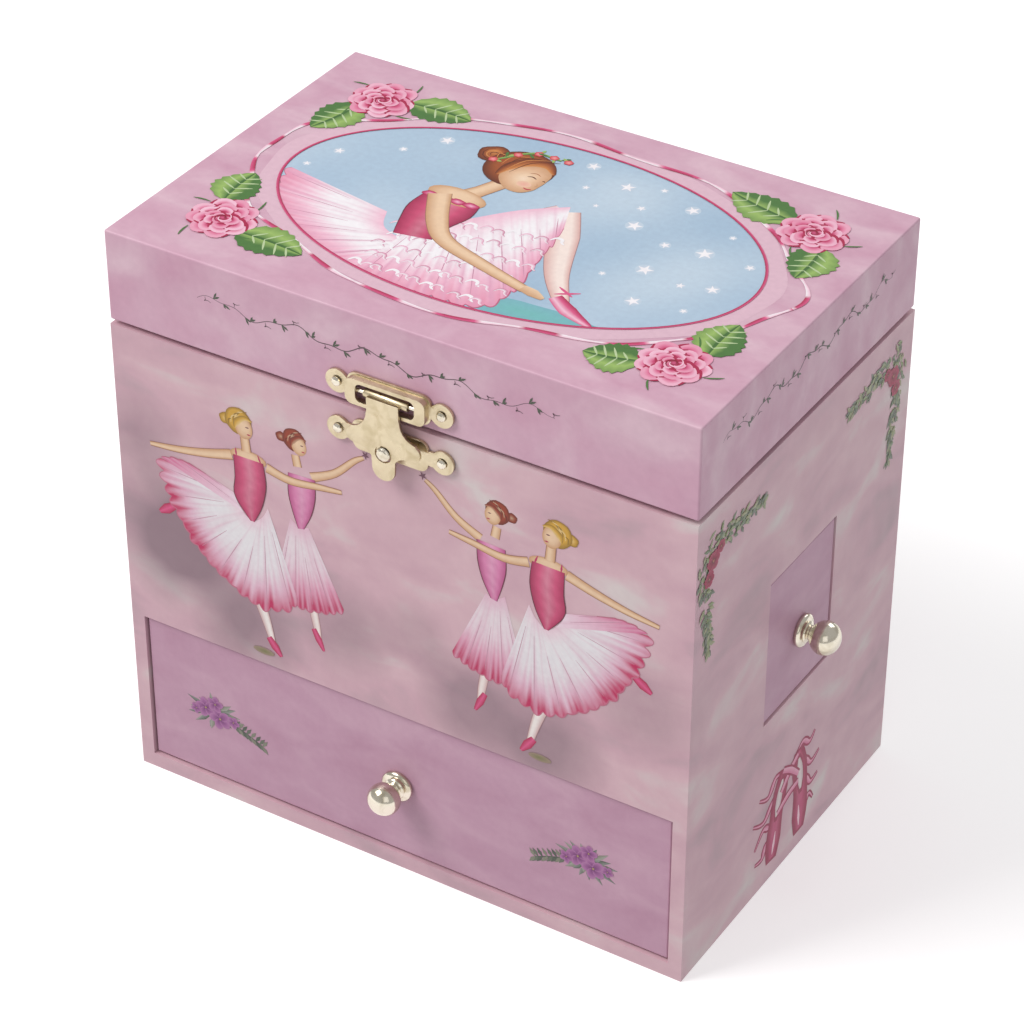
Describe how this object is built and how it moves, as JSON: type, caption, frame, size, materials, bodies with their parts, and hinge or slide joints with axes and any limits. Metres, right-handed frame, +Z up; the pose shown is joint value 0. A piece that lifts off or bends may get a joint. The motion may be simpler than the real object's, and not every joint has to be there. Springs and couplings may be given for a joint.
{
  "type": "jewellery box",
  "caption": "Paper-wrapped musical jewellery box with hinged lid, clasp, front drawer, side drawer and a dancer that turns on a stage.",
  "frame": {"origin": "centre of the footprint, on the flat underside that the box stands on", "axes": "+Z up, front face and front drawer towards -Y, side drawer towards +X, hinges and winding key towards +Y"},
  "size_m": [0.1808, 0.1392, 0.1693],
  "materials": {
    "wrap_paper": "satin marbled pink and grey paper glued over board",
    "lid_paper": "satin pink paper glued over board",
    "drawer_paper": "satin mauve paper glued over board",
    "lining_card": "matt pink lined card",
    "raw_board": "bare fibreboard",
    "velvet": "short-pile velvet over foam",
    "pale_gold": "pale gold plated pressed steel",
    "nickel": "polished warm nickel plate",
    "mirror_glass": "silvered glass",
    "brass": "turned brass",
    "zinc": "die-cast grey metal",
    "spring_steel": "bright hardened steel",
    "doll_plastic": "painted moulded plastic",
    "net_fabric": "stiff gathered net"
  },
  "bodies": {
    "carcass": {"bottom_board": "wrap_paper", "left_board": "wrap_paper", "right_board": "wrap_paper", "front_board": "wrap_paper", "back_board": "wrap_paper", "drawer_shelf": "raw_board", "front_guide_wall": "raw_board", "back_guide_wall": "raw_board", "tray_floor": "lining_card", "stage": "lining_card", "ring_bay_divider": "lining_card", "ring_roll_1": "velvet", "ring_roll_2": "velvet", "hinge_leaf_body_left": "pale_gold", "hinge_leaf_body_right": "pale_gold", "hinge_pin_left": "nickel", "hinge_pin_right": "nickel", "clasp_lower_plate": "pale_gold", "clasp_stud": "nickel", "lower_nail_left": "nickel", "lower_nail_right": "nickel", "movement_bedplate": "zinc", "spring_barrel": "brass", "comb": "spring_steel", "movement_screw_left": "nickel", "movement_screw_right": "nickel"},
    "lid": {"lid_top": "lid_paper", "lid_front_rim": "lid_paper", "lid_back_rim": "lid_paper", "lid_left_rim": "lid_paper", "lid_right_rim": "lid_paper", "lid_mirror": "mirror_glass", "hinge_leaf_lid_left": "pale_gold", "hinge_leaf_lid_right": "pale_gold", "clasp_upper_plate": "pale_gold", "clasp_hinge_bar": "nickel", "upper_nail_left": "nickel", "upper_nail_right": "nickel"},
    "hasp": {"clasp_hasp": "pale_gold"},
    "front_drawer": {"front_drawer_front": "drawer_paper", "front_drawer_left_side": "lining_card", "front_drawer_right_side": "lining_card", "front_drawer_back": "lining_card", "front_drawer_floor": "lining_card", "front_knob": "nickel"},
    "side_drawer": {"side_drawer_front": "drawer_paper", "side_drawer_near_side": "lining_card", "side_drawer_far_side": "lining_card", "side_drawer_back": "lining_card", "side_drawer_floor": "lining_card", "side_knob": "nickel"},
    "dancer_and_drum": {"music_drum": "brass", "drum_arbor": "spring_steel", "dancer_spring": "spring_steel", "dancer": "doll_plastic", "dancer_tutu": "net_fabric"},
    "great_wheel": {"great_wheel": "brass"},
    "winding_key": {"winding_key": "nickel"},
    "governor": {"governor": "brass"},
    "stop_wire": {"stop_wire": "spring_steel"}
  },
  "joints": [
    {"name": "lid_hinge", "type": "hinge", "parent": "carcass", "child": "lid", "pos_m": [0, 0.0582, 0.14265], "axis": [-1, 0, 0], "range_deg": [0, 100]},
    {"name": "clasp_swing", "type": "hinge", "parent": "lid", "child": "hasp", "pos_m": [0, -0.0582, 0.149], "axis": [-1, 0, 0], "range_deg": [0, 90]},
    {"name": "front_drawer_slide", "type": "slide", "parent": "carcass", "child": "front_drawer", "axis": [0, -1, 0], "range_m": [0, 0.08]},
    {"name": "side_drawer_slide", "type": "slide", "parent": "carcass", "child": "side_drawer", "axis": [1, 0, 0], "range_m": [0, 0.07]},
    {"name": "dancer_spin", "type": "hinge", "parent": "carcass", "child": "dancer_and_drum", "pos_m": [0, 0.0385, 0.089], "axis": [0, 0, 1], "continuous": true},
    {"name": "great_wheel_turn", "type": "hinge", "parent": "carcass", "child": "great_wheel", "pos_m": [0, 0.042, 0.0685], "axis": [0, 1, 0], "continuous": true},
    {"name": "key_turn", "type": "hinge", "parent": "great_wheel", "child": "winding_key", "pos_m": [0, 0.067, 0.0685], "axis": [0, 1, 0], "continuous": true},
    {"name": "governor_spin", "type": "hinge", "parent": "carcass", "child": "governor", "pos_m": [0.009, 0.0299, 0.097], "axis": [0, 1, 0], "continuous": true},
    {"name": "stop_wire_rise", "type": "slide", "parent": "carcass", "child": "stop_wire", "axis": [0, 0, 1], "range_m": [0, 0.004]}
  ],
  "couplings": [
    {"joint": "great_wheel_turn", "follows": "dancer_spin", "ratio": 0.1947},
    {"joint": "governor_spin", "follows": "dancer_spin", "ratio": 48},
    {"joint": "stop_wire_rise", "follows": "lid_hinge", "m_per_rad": 0.00229}
  ]
}
